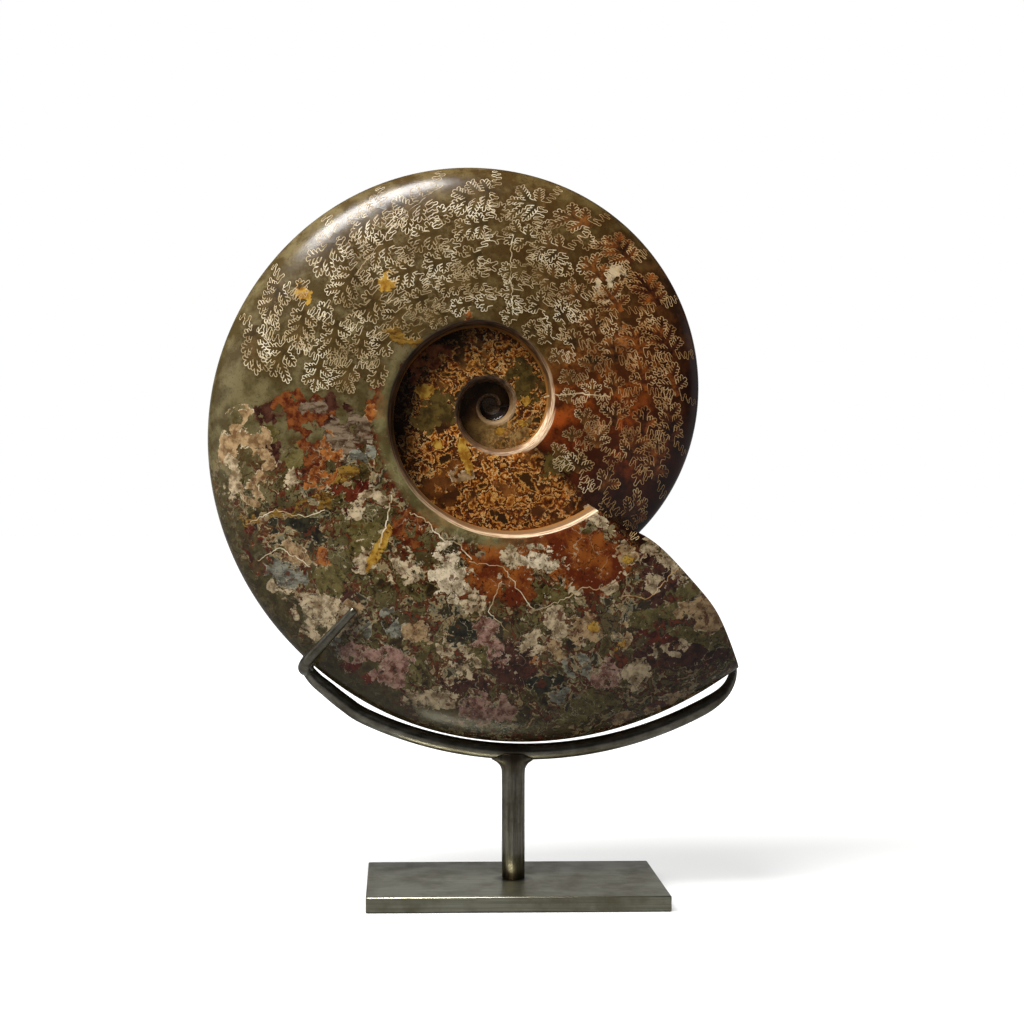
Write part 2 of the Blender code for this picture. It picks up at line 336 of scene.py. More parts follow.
mesh = fossil.data
points = numbers(mesh.vertices, "co", 3)
corner_point = numbers(mesh.loops, "vertex_index", 1)
corner_face = np.repeat(np.arange(len(mesh.polygons)), numbers(mesh.polygons, "loop_total", 1))
centres = numbers(mesh.polygons, "center", 3)
face_angles, _ = coil_angles(centres[:, 0], centres[:, 2])
corners = points[corner_point]
radii = np.hypot(corners[:, 0] - COIL_CENTRE.x, corners[:, 2] - COIL_CENTRE.z)
angles = np.degrees(np.arctan2(corners[:, 2] - COIL_CENTRE.z, corners[:, 0] - COIL_CENTRE.x))
angles += 360 * np.round((face_angles[corner_face] - angles) / 360)
low, high = seam(angles), outer_edge(angles)
maps = {
    "coil": (angles / 360, (radii - low) / (high - low)),
    "edges": ((radii - low) / (100 * MM), (high - radii) / (100 * MM)),
}
if mesh.uv_layers:
    mesh.uv_layers.remove(mesh.uv_layers[0])
for name, (u, v) in maps.items():
    mesh.uv_layers.new(name=name).data.foreach_set("uv", np.column_stack((u, v)).ravel())
print("turns covered:", round(float(angles.min() / 360), 2), "to", round(float(angles.max() / 360), 2))

# %% [markdown]
# ## The broken fill of the body chamber
# The last half turn was the animal's living room. It filled with mud, which cracked, and the
# cracks and gaps filled with calcite, iron rust and clay, so it looks like broken tiles. Each
# patch is given as an oval: its mineral, its place and its half sizes in millimetres
# from the coil's centre, and its tilt. The other side of a real fossil is broken in its own
# way, so there the same ovals are shifted along the coil. For each mineral the distance to
# the nearest patch edge is kept on the mesh, and the material roughens that edge later.

# %% Lay the patches
PATCHES = (
    ("tan", -102, -5, 4, 3, 0), ("tan", -99, -15, 7, 5, 10), ("tan", -95, -22, 6, 3, -20),
    ("tan", -97, -35, 4, 6, -10), ("tan", -107, -17, 3, 7, 0), ("cream", -106, -30, 2, 5, 0),
    ("cream", -88, 4, 8, 3, 15), ("olive", -103, -8, 3, 2, 30), ("rust", -76, -3, 11, 7, 0),
    ("lilac", -72, -1, 4, 3, 0), ("purple", -66, -4, 9, 8, 20), ("rust", -74, -15, 6, 12, 0),
    ("rust", -96, 0, 9, 4, 10), ("rust", -49, 5, 7, 4, -20), ("rust", -46, -2, 4, 8, 0),
    ("orange", -48, -5, 3, 2, -50), ("rust", -47, -11, 5, 3, -40), ("purple", -88, -5, 9, 4, 0),
    ("purple", -91, -20, 6, 8, 0), ("olive", -66, 4, 5, 4, 0), ("olive", -53, 0, 5, 5, 0),
    ("olive", -89, -12, 4, 3, 0), ("olive", -80, -22, 4, 6, 0), ("olive", -104, -31, 3, 5, 0),
    ("lilac", -60, -13, 11, 9, 25), ("blue", -53, -21, 3, 2, 30), ("rust", -60, -8, 8, 3, -30),
    ("orange", -66, -18, 3, 6, 10), ("rust", -71, -24, 5, 5, 20), ("orange", -71, -30, 5, 3, 20),
    ("cream", -81, -30, 2, 3, 0), ("amber", -59, -28, 6, 2, 15), ("red", -57, -35, 6, 3, 10),
    ("cream", -48, -39, 5, 3, 20), ("cream", -57, -44, 4, 2, 30), ("red", -41, -32, 4, 3, -45),
    ("red", -36, -37, 4, 2, -50), ("amber", -97, -46, 7, 2, 10), ("amber", -78, -42, 12, 3, 15),
    ("tan", -83, -47, 7, 2, 5), ("dark", -85, -50, 4, 2, 0), ("dark", -73, -50, 7, 5, 20),
    ("tan", -81, -59, 11, 4, -25), ("orange", -70, -62, 3, 2, -20), ("red", -97, -55, 7, 4, -30),
    ("red", -93, -63, 4, 5, 0), ("blue", -84, -69, 9, 6, -40), ("olive", -67, -72, 7, 7, 0),
    ("cream", -78, -80, 12, 4, -25), ("olive", -52, -56, 9, 9, 0), ("gold", -46, -58, 1.6, 7, -25),
    ("cream", -52, -62, 5, 5, 0), ("rust", -34, -51, 5, 7, 20), ("glow", -19, -47, 12, 4, -15),
    ("white", -18, -68, 6, 12, 0), ("cream", -37, -66, 6, 7, 0), ("glow", -11, -60, 4, 6, 0),
    ("glow", -3, -70, 10, 10, -30), ("cream", 6, -63, 4, 4, 0), ("white", 19, -63, 6, 4, -15),
    ("cream", 27, -62, 2, 2, 0), ("glow", 38, -64, 19, 13, -15), ("glow", 17, -56, 26, 6, 8),
    ("glow", 10, -72, 8, 9, 20), ("cream", 34, -75, 2, 2, 0), ("cream", 50, -72, 4, 2, 25),
    ("tan", 55, -62, 6, 4, 0), ("gold", 55, -63, 3, 2, 0), ("purple", 66, -71, 9, 10, 0),
    ("cream", 63, -71, 4, 4, 20), ("olive", 76, -80, 4, 11, -40), ("olive", 83, -93, 13, 4, -15),
    ("tan", 84, -85, 9, 7, -20), ("rust", 86, -91, 6, 2, -10), ("purple", 60, -62, 5, 5, 0),
    ("red", 66, -92, 9, 4, -20), ("olive", 24, -78, 4, 4, 0), ("cream", -9, -77, 4, 7, 0),
    ("dark", -15, -92, 6, 4, 0), ("cream", -17, -98, 4, 5, 0), ("pink", -6, -92, 6, 4, 0),
    ("cream", -13, -107, 6, 5, 20), ("olive", -2, -100, 7, 4, 30), ("cream", 25, -88, 5, 5, 0),
    ("tan", 36, -90, 6, 6, -40), ("gold", 40, -90, 2, 2, 0), ("tan", 51, -94, 3, 6, 0),
    ("gold", 50, -96, 2, 3, 0), ("purple", 77, -102, 21, 6, -5), ("cream", 67, -100, 2, 2, 0),
    ("cream", 76, -99, 3, 2, 0), ("pink", 47, -110, 5, 5, 0), ("cream", 58, -110, 5, 5, -30),
    ("purple", 8, -105, 10, 12, 0), ("dark", 22, -113, 6, 4, 20), ("blue", 33, -108, 4, 5, 0),
    ("blue", 27, -117, 5, 3, 30), ("orange", 20, -105, 3, 2, 0), ("pink", 2, -101, 3, 4, 0),
    ("pink", -8, -124, 6, 6, 0), ("pink", 5, -124, 3, 4, 0), ("olive", 39, -123, 12, 6, 15),
    ("tan", 69, -123, 8, 2, 20), ("tan", 59, -127, 5, 1, 20), ("cream", -70, -86, 10, 8, -20),
    ("rust", -66, -84, 3, 2, 0), ("pink", -55, -100, 5, 4, -20), ("pink", -41, -106, 8, 8, -20),
    ("red", -52, -108, 5, 3, -20), ("red", -36, -113, 4, 3, 0), ("green", -24, -125, 4, 2, 0),
    ("olive", -33, -110, 5, 6, 0), ("cream", -25, -120, 9, 4, 0), ("purple", -9, -113, 10, 5, 0),
    ("blue", -66, -95, 5, 3, -30), ("gold", -41, 50, 5, 4, 30), ("gold", -77, 45, 3, 4, 0),
    ("amber", -36, 27, 6, 3, -15), ("orange", -11, 37, 2, 3, 0), ("orange", -101, 11, 4, 2, 10),
    ("orange", 53, 29, 2, 3, 0), ("cream", 48, 50, 4, 6, -20), ("gold", -28, 5, 4, 3, 30),
    ("gold", -11, -21, 1.8, 5, 8), ("tan", -13, -29, 3.2, 3.6, 35), ("green", -24, -3, 8, 9, 20),
    ("green", 14, 10, 7, 8, 0), ("green", 27, -24, 8, 4, 20), ("rust", -28, 16, 8, 4, 30),
    ("gold", -23, -16, 1.3, 2, 30), ("gold", 14, 2, 1.3, 2, -20), ("gold", 12, -8, 2, 1, 0),
    ("gold", 4, -11, 1.4, 1, 0), ("cream", 44, -45, 8, 3, -38), ("cream", 53, -51, 9, 4, -25),
    ("cream", 62, -56, 7, 4, -38), ("cream", 71, -64, 8, 3, -48), ("blue", -40, -88, 3, 5, 20),
    ("tan", -30, -92, 5, 4, 0), ("olive", -28, -100, 4, 6, 10), ("cream", 14, -96, 5, 4, 20),
    ("tan", 24, -99, 4, 3, -30), ("olive", 17, -87, 3, 6, 10), ("tan", -58, -84, 4, 3, 30),
    ("purple", -60, -78, 4, 3, 0), ("blue", -55, -92, 3, 4, -20), ("olive", 62, -88, 7, 3, 10),
)
KINDS = (
    "glow", "purple", "rust", "red", "lilac", "olive", "green", "blue", "pink", "tan",
    "cream", "white", "amber", "orange", "gold", "dark",
)
FIELD_REACH = 4.0
draw = random.Random(11)
fields = {kind: np.full(len(points), -FIELD_REACH) for kind in KINDS}
point_angles, _ = coil_angles(points[:, 0], points[:, 2])
for side in (-1, 1):
    here = points[:, 1] * side >= 0
    x = (points[here, 0] - COIL_CENTRE.x) * 1000
    z = (points[here, 2] - COIL_CENTRE.z) * 1000
    for kind, px, pz, half_x, half_z, tilt in PATCHES:
        if side > 0:
            turn, reach = draw.uniform(-14, 14), draw.uniform(0.92, 1.06)
            placed = complex(px, pz) * cmath.rect(reach, math.radians(turn))
            px, pz, tilt = placed.real, placed.imag, tilt + turn + draw.uniform(-25, 25)
        own_angle, own_radius = math.degrees(math.atan2(pz, px)) % 360, math.hypot(px, pz) * MM
        in_chamber = 180 < own_angle < 322 and own_radius > seam(own_angle) - 0.002
        across = (x - px) * math.cos(math.radians(tilt)) + (z - pz) * math.sin(math.radians(tilt))
        up = (z - pz) * math.cos(math.radians(tilt)) - (x - px) * math.sin(math.radians(tilt))
        inside = (1 - np.hypot(across / half_x, up / half_z)) * min(half_x, half_z)
        inside[(point_angles[here] > 170) != in_chamber] = -FIELD_REACH
        fields[kind][here] = np.maximum(fields[kind][here], inside)
for first in range(0, len(KINDS), 4):
    group = KINDS[first:first + 4]
    channels = [np.clip(fields[k] / (2 * FIELD_REACH) + 0.5, 0, 1) for k in group]
    channels += [np.zeros(len(points))] * (4 - len(group))
    attribute = mesh.attributes.new("patches_%d" % (first // 4 + 1), "FLOAT_COLOR", "POINT")
    attribute.data.foreach_set("color", np.column_stack(channels).ravel())
print("patches laid on each side:", len(PATCHES))

# %% [markdown]
# ## Suture lines
# Inside the shell the animal built a wall behind itself each time it moved forward. Each wall
# is frilled where it meets the shell, and polishing lays that frill bare as a fine cream line
# of calcite: a row of leaves that point forward, and smaller ones that hang back between
# them, all edged with round fingers. No operator draws such a line. It is drawn on a flat
# chart of the shell's side by walking round a small tree of branches, with one complex
# number for each point: its distance across the side, and its distance along the coil, both
# in millimetres. Then it is laid on the skin as a thin ribbon.

# %% Walk round a finger, a branch and a leaf
FINGER_WIDTH = 1.8


def finger(base, along, length, half, cores):
    """The outline of one round-ended finger, from its left foot to its right foot."""
    side = along * 1j
    waist = base + along * length * 0.45
    tip = base + along * (length - half)
    cap = [tip + half * along * cmath.rect(1, math.radians(t)) for t in (80, 40, 0, -40, -80)]
    cores.append((base, tip, half * 0.8))
    return [base + side * half * 0.75, waist + side * half * 0.9, *cap,
            waist - side * half * 0.9, base - side * half * 0.75]


def turned(along, degrees):
    """A direction turned to the left."""
    return along * cmath.rect(1, math.radians(degrees))


def branch(base, along, length, width, draw, cores):
    """A stem with fingers on both sides and one at its tip."""
    side, half, reach = along * 1j, width * 0.5, width * 1.15
    stem = max(length - reach, 0.1)
    count = max(round(stem / width), 0)
    cores.append((base, base + along * stem, half))
    outline = [base + side * half]
    for sign in (1, -1):
        for i in range(count) if sign > 0 else reversed(range(count)):
            share = (i + 0.75) / (count + 0.3)
            lean = sign * (52 * (1 - 0.35 * share) + draw.uniform(-10, 10))
            foot = base + along * stem * share + sign * side * half
            size = reach * draw.uniform(0.7, 1.3) * (0.7 + 0.4 * share)
            outline += finger(foot, turned(along, lean), size, width * 0.43, cores)
        if sign > 0:
            tip = turned(along, draw.uniform(-6, 6))
            outline += finger(base + along * stem, tip, reach, width * 0.46, cores)
    return outline + [base - side * half]


def leaf(base, along, height, spread, width, draw, cores):
    """A trunk with branches on both sides and one at its top."""
    side, half, top = along * 1j, width * 0.85, spread * 0.3
    trunk = height - top
    count = max(int(trunk / (2.55 * width)), 1)
    cores.append((base, base + along * trunk, half))
    outline = [base + side * half]
    for sign in (1, -1):
        for i in range(count) if sign > 0 else reversed(range(count)):
            share = (i + 0.8) / (count + 0.35)
            lean = 74 * (1 - 0.45 * share)
            shape = 0.72 + 0.28 * math.sin(math.pi * min(0.12 + share * 0.62, 1))
            size = (spread / 2 - half) * shape * draw.uniform(0.84, 1.1)
            size /= math.sin(math.radians(lean)) ** 0.5
            foot = base + along * trunk * share + sign * side * half
            arm = turned(along, sign * (lean + draw.uniform(-9, 9)))
            outline += branch(foot, arm, size, width, draw, cores)
        if sign > 0:
            outline += branch(base + along * trunk, along, top, width, draw, cores)
    return outline + [base - side * half]


def hem(start, end, width, draw):
    """Fingers up and down in turn along the line between two leaves."""
    outline = [start]
    count = int(abs(end - start) / (width * 0.8))
    for i in range(count):
        foot = start + (end - start) * (i + 0.5) / count
        up = 1 - 2 * (i % 2)
        along = turned(1j * up, draw.uniform(-20, 20))
        bump = finger(foot, along, width * draw.uniform(0.9, 1.6), width * 0.36, [])
        outline += bump[::-1] if up > 0 else bump
    return outline


print("points round one finger:", len(finger(0, 1j, 3, 1, [])))

# %% [markdown]
# ## One suture, and then the rest
# A suture runs from the outer edge to the shoulder, and its leaves shrink on the way. Its
# corners are rounded by a moving average, as growth rounds them, and its points are spread
# evenly so that the ribbon has no crowded places. Every suture draws its own chances, so no
# two are alike, and they follow each other at one angle from the seams' end to the chamber.

# %% String the leaves into one suture
SUTURES_FROM, SUTURES_TO, SUTURE_GAP = -44, 171, 14.6
SUTURE_STEP = 0.42
SHELL_BAND = 0.94


def section_at(angle):
    """Radii and distances across the side, in mm, from the shoulder to the outer edge."""
    radii = np.linspace(shoulder(angle), outer_edge(angle) * 0.995, 400)
    share = (radii - seam(angle)) / (outer_edge(angle) - seam(angle))
    heights = SIDE_BULGE * outer_edge(angle) * np.sqrt(np.maximum(1 - share ** SIDE_POWER, 0))
    across = np.concatenate([[0], np.cumsum(np.hypot(np.diff(radii), np.diff(heights)))])
    return radii * 1000, across * 1000


def evenly(line, step):
    """The line's points again, at even steps."""
    run = np.concatenate([[0], np.cumsum(np.abs(np.diff(line)))])
    at = np.arange(0, run[-1], step)
    return np.interp(at, run, line.real) + 1j * np.interp(at, run, line.imag)


def softened(line, reach):
    """The line with its corners rounded over this many points."""
    weight = np.hanning(2 * reach + 3)[1:-1]
    longer = np.concatenate([np.full(reach, line[0]), line, np.full(reach, line[-1])])
    return np.convolve(longer, weight / weight.sum(), "valid")


def suture(angle, draw):
    """One suture: radii in mm and angles in degrees of its line, and of the cores of its leaves."""
    radii, across = section_at(angle)
    place, size = across[-1] * SHELL_BAND, 15.5 * (1 + 0.15 * (angle + 45) / 230)
    line, last, cores = [], complex(place + 2, 0), []
    while place - size * 0.8 > 1.2:
        spread = size * draw.uniform(0.84, 1.16)
        centre = place - spread / 2
        radius = np.interp(centre, across, radii)
        width = FINGER_WIDTH * (radius / 90) ** 0.4 * draw.uniform(0.82, 1.08)
        height = min(radius * math.radians(SUTURE_GAP) * draw.uniform(0.72, 0.92), spread * 1.25)
        rise = 0.14 * height * draw.uniform(-1, 1)
        up = turned(1j, draw.uniform(-20, 20))
        head = leaf(complex(centre, rise), up, height, spread * 0.98, width, draw, cores)[::-1]
        line += hem(last, head[0], width, draw) + head
        last = head[-1]
        place -= spread
        size *= 0.86
        if place - size * 0.8 > 1.2:
            down = turned(-1j, draw.uniform(-22, 22))
            foot = complex(place, rise)
            tail = leaf(foot, down, height * 0.45, spread * 0.5, width * 0.9, draw, [])[::-1]
            line += hem(last, tail[0], width, draw) + tail
            last = tail[-1]

    def on_coil(chart):
        bow = 5 * np.sin(math.pi * np.clip(chart.real / across[-1], 0, 1))
        radius = np.interp(np.clip(chart.real, 0.3, across[-1]), across, radii)
        return radius, angle + bow + np.degrees(chart.imag / radius)

    line = evenly(softened(evenly(np.array(line), 0.12), 4), SUTURE_STEP)
    strips = []
    for start, end, half in cores:
        steps = max(round(abs(end - start) / 1.6), 2)
        strips.append((*on_coil(start + (end - start) * np.linspace(0, 1, steps + 1)), half))
    return *on_coil(line), strips


draw = random.Random(3)
sutures = {side: [] for side in ("front", "back")}
for side in sutures:
    angle = SUTURES_FROM
    while angle < SUTURES_TO:
        sutures[side].append(suture(angle + draw.uniform(-1, 1), draw))
        angle += SUTURE_GAP
print("sutures on each side:", len(sutures["front"]), "points:", sum(len(s[0]) for s in sutures["front"]))

# %% [markdown]
# ## Ribbons in the polished face
# A polished line has no height of its own. Each becomes a closed ribbon of three sides, its
# ridge a few hundredths of a millimetre above the skin, which a light can't tell from flush.
# The real line is about 0.25 mm wide and is drawn at 0.31 mm, so that it shows in a picture.
# The leaves inside are filled with a broader and lower ribbon along each of their stems.

# %% Lay the lines on the skin
LINE_WIDTH = 0.31 * MM
skin_tree = BVHTree.FromPolygons([v.co for v in mesh.vertices], [p.vertices[:] for p in mesh.polygons])


def on_skin(radii, angles, side):
    """The skin's points and normals at places of the coil, on the front (-1) or the back (1)."""
    spots = []
    for radius, angle in zip(radii, np.radians(angles)):
        start = COIL_CENTRE + Vector((math.cos(angle), 0, math.sin(angle))) * radius * MM
        start.y = side * 0.1
        place, normal, _, _ = skin_tree.ray_cast(start, Vector((0, -side, 0)))
        if place:
            spots.append((place, normal))
    return spots


def ribbon(track, width, rise, edge, points, faces):
    """Add a closed three-sided ribbon along a track, with its ridge and edges this far above the skin."""
    first = len(points)
    for i, (place, normal) in enumerate(track):
        ahead = track[min(i + 1, len(track) - 1)][0] - track[max(i - 1, 0)][0]
        across = ahead.cross(normal).normalized() * width / 2
        points += [place + across + normal * edge, place + normal * rise, place - across + normal * edge]
    for i in range(len(track) - 1):
        a, b = first + 3 * i, first + 3 * i + 3
        faces += [(a + k, a + (k + 1) % 3, b + (k + 1) % 3, b + k) for k in range(3)]
    end = first + 3 * (len(track) - 1)
    faces += [(first + 2, first + 1, first), (end, end + 1, end + 2)]


def inlay(name, points, faces):
    """One piece of stone from the points and faces of its ribbons."""
    piece = bpy.data.objects.new(name, bpy.data.meshes.new(name))
    bpy.context.scene.collection.objects.link(piece)
    piece.data.from_pydata(points, [], faces)
    pick(piece)
    bpy.ops.object.mode_set(mode="EDIT")
    bpy.ops.mesh.select_all(action="SELECT")
    bpy.ops.mesh.normals_make_consistent(inside=False)
    bpy.ops.object.mode_set(mode="OBJECT")
    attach(piece, "root")
    print(name, "has", sum(len(p.vertices) - 2 for p in piece.data.polygons), "triangles")
    return piece


suture_pieces, core_pieces = {}, {}
for side, sign in (("front", -1), ("back", 1)):
    core_points, core_faces = [], []
    half_way = len(sutures[side]) // 2
    suture_pieces[side] = []
    for part, some in (("old", sutures[side][:half_way]), ("new", sutures[side][half_way:])):
        line_points, line_faces = [], []
        for radii, angles, strips in some:
            track = on_skin(radii, angles, sign)
            ribbon(track, LINE_WIDTH, 0.035 * MM, -0.005 * MM, line_points, line_faces)
            for strip_radii, strip_angles, half in strips:
                track = on_skin(strip_radii, strip_angles, sign)
                if len(track) > 1:
                    ribbon(track, 2 * half * MM, 0.018 * MM, 0.004 * MM, core_points, core_faces)
        suture_pieces[side].append(inlay("suture_lines_%s_%s" % (side, part), line_points, line_faces))
    core_pieces[side] = inlay("leaf_cores_" + side, core_points, core_faces)

# %% [markdown]
# ## White veins
# Where the fill or a turn cracked right through, white calcite healed it. A few such veins
# cross the shell. Their corners are given in millimetres from the coil's centre, after the
# width, and the way between two corners wanders as a crack does.

# %% Lay the white veins
VEINS = (
    (0.5, (29, -78), (36, -74), (41, -75), (50, -72)), (0.45, (52, -77), (62, -79), (67, -74), (74, -66)),
    (0.5, (-34, -44), (-27, -47), (-22, -54), (-14, -57), (-9, -63)),
    (0.6, (-41, -37), (-43, -48), (-46, -58)), (0.7, (21, 3.5), (33, 4.5), (48, 3)),
    (0.4, (8, 69), (7, 52), (8, 36)), (0.4, (3, -71), (-2, -84), (6, -92)),
    (0.4, (-100, -49), (-88, -43), (-76, -46), (-68, -43)), (0.35, (-20, 90), (-38, 76), (-56, 52)),
    (0.35, (-10, -64), (4, -66), (16, -84), (30, -78)), (0.35, (-96, -64), (-86, -58), (-74, -66)),
)


def wandering(corners, draw):
    """The radii and angles of a crack that wanders from corner to corner."""
    spots = []
    for start, end in zip(corners, corners[1:]):
        start, end = complex(*start), complex(*end)
        steps = max(round(abs(end - start) / 1.2), 2)
        for i in range(steps):
            stray = complex(draw.gauss(0, 0.3), draw.gauss(0, 0.3))
            spots.append(start + (end - start) * i / steps + stray)
    spots = np.array(spots + [end])
    return np.abs(spots), np.degrees(np.angle(spots))


draw = random.Random(5)
vein_pieces = []
for side, sign, turn in (("front", -1, 0), ("back", 1, -17)):
    vein_points, vein_faces = [], []
    for width, *corners in VEINS:
        radii, angles = wandering(corners, draw)
        track = on_skin(radii, angles + turn, sign)
        ribbon(track, width * MM, 0.03 * MM, -0.005 * MM, vein_points, vein_faces)
    vein_pieces.append(inlay("white_veins_" + side, vein_points, vein_faces))

# %% [markdown]
# ## Where the shell is frilled
# The stone between close frills is browner than the open ground. So each point of the skin
# counts the points of the lines near it, and keeps the share as an attribute that the
# material reads.

# %% Measure how close each place is to a frill
frill = np.zeros(len(points))
FRILL_REACH = 2.6 * MM
for side, sign in (("front", -1), ("back", 1)):
    ridge = [v.co for piece in suture_pieces[side] for v in list(piece.data.vertices)[1::3]]
    near = KDTree(len(ridge))
    for i, place in enumerate(ridge):
        near.insert(place, i)
    near.balance()
    for i in np.flatnonzero(points[:, 1] * sign > 0):
        frill[i] = len(near.find_range(points[i], FRILL_REACH))
frill = np.clip(frill / 36, 0, 1)
mesh.attributes.new("frill", "FLOAT", "POINT").data.foreach_set("value", frill)
print("share of the skin that is frilled:", round(float((frill > 0.3).mean()), 2))

# %% [markdown]
# ## Polished ammonite stone
# The shell is long gone. What shines is the stone that filled it, ground flat and polished to
# a soft gloss: olive mudstone with dark specks in the last turn, brown and gold calcite
# between the frills, and coarse golden grains in the old inner turns. A picture could be laid
# on it, but noise at the size of the real grains, in millimetres on the object's own
# coordinates, goes all round and stays sharp close up. The maps of the coil say where each
# ground lies, and the patches are painted over it.

# %% What the colours are drawn from
stone, stone_end = material_of("polished_ammonite_stone")
own_place = add(stone, "TexCoord").outputs["Object"]
millimetres = add(stone, "VectorMath", {0: own_place, "Scale": 1000.0}, operation="SCALE").outputs[0]
coil = add(stone, "SeparateXYZ", {0: add(stone, "UVMap", uv_map="coil").outputs[0]})
edges = add(stone, "SeparateXYZ", {0: add(stone, "UVMap", uv_map="edges").outputs[0]})
from_outer_edge = edges.outputs["Y"]
along = add(stone, "MapRange", {0: coil.outputs["X"], 1: -2.0, 2: 1.0}).outputs[0]


def at(angle):
    """Where an angle of the coil falls on a ramp that runs from -720 to 360 degrees."""
    return (angle + 720) / 1080


def where(*rows):
    """The mask where all rows hold. A row is a mask, or a value, its two limits and its most."""
    masks = []
    for row in rows:
        if isinstance(row, tuple):
            row = add(stone, "MapRange", dict(zip((0, 1, 2, 4), row))).outputs[0]
        masks.append(row)
    whole = masks[0]
    for other in masks[1:]:
        whole = add(stone, "Math", {0: whole, 1: other}, operation="MULTIPLY").outputs[0]
    return whole


def paint(under, over, *rows):
    """One colour laid over another where all rows hold. A colour is an output or a code."""
    under, over = [linear(c) if isinstance(c, str) else c for c in (under, over)]
    return add(stone, "MixRGB", {0: where(*rows), 1: under, 2: over}).outputs[0]


def on_band(value, low, high, soft):
    """The two rows that hold where a value lies between two limits."""
    return (value, low - soft, low), (value, high + soft, high)


print("the mouth lies at", round(at(MOUTH_ANGLE), 3), "of the ramps along the coil")

# %% Noises of the stone
PLAIN_NOISES = {
    "clouds": (9, 6, 0.6), "grain": (2.2, 4, 0.7), "thick": (8, 3, 0.6), "specks": (0.8, 2, 0.6),
    "slow": (12, 3, 0.6), "coarse": (8, 3, 0.5),
}
BENT_NOISES = {
    "frills": (7.5, 6, 0.58), "breaks": (16, 4, 0.6), "fine": (1.6, 4, 0.6), "mottle": (3.2, 6, 0.6),
}
noises = {}


def pushed(vector, noise, far):
    """Coordinates pushed aside by a noise's colour, so that shapes laid on them get ragged."""
    factors = {0: noise.outputs["Color"], 1: (far, far, far), 2: vector}
    return add(stone, "VectorMath", factors, operation="MULTIPLY_ADD").outputs[0]


def lay_noises(table, vector):
    """Lay a table's noises, each with its lumps in mm, its detail and its roughness."""
    for name, (size, detail, rough) in table.items():
        settings = {"Vector": vector, "Scale": 1 / size, "Detail": detail, "Roughness": rough}
        noises[name] = add(stone, "TexNoise", settings)


lay_noises(PLAIN_NOISES, millimetres)
ragged_place = pushed(millimetres, noises["grain"], 2.5)
lay_noises(BENT_NOISES, ragged_place)
level = {name: noise.outputs[0] for name, noise in noises.items()}
cloudy = where((level["clouds"], 0.42, 0.6))
grainy = where((level["grain"], 0.40, 0.56))
mottled = where((level["mottle"], 0.40, 0.60))
print("noises:", sorted(noises))

# %% Grounds along the coil
DARK_GROUND = [
    (at(-720), "0E0703"), (at(-500), "2A1808"), (at(-400), "5C4420"), (at(-300), "38260F"),
    (at(-200), "24150A"), (at(-140), "2E1808"), (at(-60), "4A280E"), (at(-45), "1C0903"),
    (at(-15), "3E1A08"), (at(15), "3C1C08"), (at(50), "3E2B0E"), (at(90), "443216"),
    (at(130), "493A1F"), (at(185), "41371D"), (at(235), "3E341B"), (at(275), "3A2A14"),
    (at(314), "302514"),
]
LIGHT_GROUND = [
    (at(-720), "1A1006"), (at(-500), "4A3414"), (at(-400), "9A7C4A"), (at(-300), "6A4A20"),
    (at(-150), "583010"), (at(-60), "7E4C20"), (at(-45), "3A1A0A"), (at(-20), "8E3C10"),
    (at(15), "8A4816"), (at(50), "5C4A26"), (at(90), "62512F"), (at(130), "6C5E40"),
    (at(185), "605638"), (at(235), "5A5030"), (at(275), "5A4A2C"), (at(314), "4A4028"),
]
BETWEEN_FRILLS = [
    (at(-45), "2A1006"), (at(0), "4A1E08"), (at(50), "3A2208"), (at(110), "3E2C12"), (at(185), "3C2E14"),
]
dark = add(stone, "ValToRGB", {0: along}, stops=DARK_GROUND).outputs[0]
light = add(stone, "ValToRGB", {0: along}, stops=LIGHT_GROUND).outputs[0]
between_frills = add(stone, "ValToRGB", {0: along}, stops=BETWEEN_FRILLS).outputs[0]
near_frill = add(stone, "Attribute", attribute_name="frill").outputs["Fac"]
colour = paint(dark, light, cloudy)
colour = paint(colour, between_frills, near_frill, grainy)
colour = paint(colour, "1C0904", (along, at(70), at(10)), (from_outer_edge, 0.32, 0.04, 0.85))
print("stops of the grounds:", len(DARK_GROUND), len(LIGHT_GROUND))

# %% [markdown]
# ## Golden frills of the inner turns
# The old turns are full of calcite that grew in crusts, so each grain has a pale edge, a
# golden body and a dark heart. Contour lines of one noise give just that: a ramp with many
# narrow stops draws the crusts round every lump. Here and there plain mudstone shows between
# them, and the upper left of each old turn, beside the wall of the next, gets a painted shadow
# that is nearly black.

# %% Paint the frills
FRILLS = [
    (0.30, "231606"), (0.385, "2E1A08"), (0.405, "C8954E"), (0.42, "9A5818"), (0.445, "4E230A"),
    (0.475, "2A1206"), (0.492, "3A1C08"), (0.503, "DAB87C"), (0.513, "BC762A"), (0.54, "763A10"),
    (0.565, "3C1808"), (0.588, "240E04"), (0.60, "CE9E58"), (0.62, "A46420"), (0.66, "5A2A0C"),
    (0.72, "240F05"),
]
frills = add(stone, "ValToRGB", {0: level["frills"]}, stops=FRILLS).outputs[0]
inner_turns = (along, at(-44), at(-50))
outwards = (along, at(-470), at(-380), 0.9)
colour = paint(colour, frills, inner_turns, outwards, (level["thick"], 0.38, 0.44))
# Painted shadow: the upper left of each old turn, where the next turn's wall shades it, is painted nearly
# black.
painted_wall_shadow = (along, at(-290), at(-240)), (along, at(-120), at(-165))
colour = paint(colour, "0C0502", *painted_wall_shadow, (coil.outputs["Y"], 0.26, 0.46, 0.9))
colour = paint(colour, "1E1A0E", (level["specks"], 0.58, 0.68, 0.5))
print("stops of the frills:", len(FRILLS))

# %% [markdown]
# ## The broken fill
# Mud that dried in the chamber cracked into pieces about 11 mm wide, and each took up iron and
# lime in its own way. Cells are laid on pushed coordinates, so their edges wander, and each
# cell shifts one banded noise by its own amount. Iron rust then crept along the cracks.

